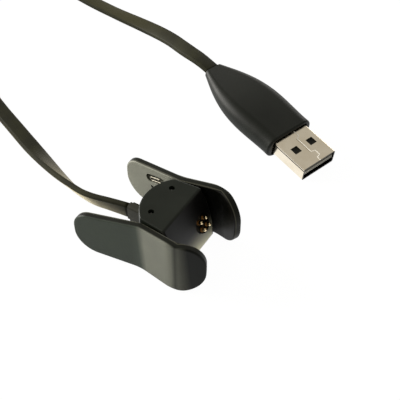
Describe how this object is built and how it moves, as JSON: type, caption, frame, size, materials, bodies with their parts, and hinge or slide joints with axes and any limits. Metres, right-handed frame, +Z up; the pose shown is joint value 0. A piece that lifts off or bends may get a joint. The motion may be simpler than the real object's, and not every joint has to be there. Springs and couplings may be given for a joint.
{
  "type": "tracker charging clip cable",
  "caption": "Spring clip charging cable for a fitness tracker, with sprung arms beside a block of gold pogo pin contacts and a flat black cable to a USB-A plug.",
  "frame": {"origin": "on the table under the middle of the clip, without its cable and plug", "axes": "+X along the clip to the tips of its jaws, +Y across the clip to the left arm, +Z up"},
  "size_m": [0.1884, 0.1015, 0.0164],
  "materials": {
    "arm_plastic": "fine satin moulded ABS",
    "block_plastic": "satin moulded ABS",
    "contact_plastic": "smooth black moulding",
    "cable_jacket": "smooth soft TPE jacket",
    "grip_plastic": "satin TPE overmould",
    "usb_nickel": "bright nickel plate on folded steel",
    "tongue_plastic": "light grey insulator",
    "gold_plate": "gold plate",
    "pin_steel": "ground steel",
    "spring_steel": "drawn spring wire",
    "board": "solder mask on glass laminate",
    "wire_jacket": "thin insulation"
  },
  "bodies": {
    "block": {"contact_block": "block_plastic", "bottom_cover": "block_plastic", "contact_carrier": "contact_plastic", "circuit_board": "board", "signal_wires": "wire_jacket", "left_pivot_pin": "pin_steel", "right_pivot_pin": "pin_steel", "left_torsion_spring": "spring_steel", "right_torsion_spring": "spring_steel", "pogo_barrels": "gold_plate", "strain_relief": "cable_jacket", "cable_run_clip": "cable_jacket", "cable_coil": "cable_jacket", "cable_run_plug": "cable_jacket", "plug_overmold": "grip_plastic", "plug_inner_mold": "contact_plastic", "usb_shell": "usb_nickel", "usb_insulator": "tongue_plastic", "usb_contacts": "gold_plate", "pogo_spring_1": "spring_steel", "pogo_spring_2": "spring_steel", "pogo_spring_3": "spring_steel", "pogo_spring_4": "spring_steel"},
    "left_arm": {"left_arm": "arm_plastic"},
    "right_arm": {"right_arm": "arm_plastic"},
    "pogo_plunger_1": {"pogo_plunger_1": "gold_plate"},
    "pogo_plunger_2": {"pogo_plunger_2": "gold_plate"},
    "pogo_plunger_3": {"pogo_plunger_3": "gold_plate"},
    "pogo_plunger_4": {"pogo_plunger_4": "gold_plate"}
  },
  "joints": [
    {"name": "left_arm_hinge", "type": "hinge", "parent": "block", "child": "left_arm", "pos_m": [0.0003, 0.00467, 0.0082], "axis": [0, 0, 1], "range_deg": [0, 18], "stiffness_Nm_per_rad": 0.03, "springref_deg": -28.65, "deforming": ["left_torsion_spring"]},
    {"name": "right_arm_hinge", "type": "hinge", "parent": "block", "child": "right_arm", "pos_m": [0.0003, -0.00467, 0.0082], "axis": [0, 0, -1], "range_deg": [0, 18], "stiffness_Nm_per_rad": 0.03, "springref_deg": -28.65, "deforming": ["right_torsion_spring"]},
    {"name": "pogo_1_travel", "type": "slide", "parent": "block", "child": "pogo_plunger_1", "axis": [-0.866, 0, -0.5], "range_m": [0, 0.001], "stiffness_N_per_m": 100, "springref_m": -0.001, "deforming": ["pogo_spring_1"]},
    {"name": "pogo_2_travel", "type": "slide", "parent": "block", "child": "pogo_plunger_2", "axis": [-0.866, 0, -0.5], "range_m": [0, 0.001], "stiffness_N_per_m": 100, "springref_m": -0.001, "deforming": ["pogo_spring_2"]},
    {"name": "pogo_3_travel", "type": "slide", "parent": "block", "child": "pogo_plunger_3", "axis": [-0.866, 0, -0.5], "range_m": [0, 0.001], "stiffness_N_per_m": 100, "springref_m": -0.001, "deforming": ["pogo_spring_3"]},
    {"name": "pogo_4_travel", "type": "slide", "parent": "block", "child": "pogo_plunger_4", "axis": [-0.866, 0, -0.5], "range_m": [0, 0.001], "stiffness_N_per_m": 100, "springref_m": -0.001, "deforming": ["pogo_spring_4"]}
  ]
}
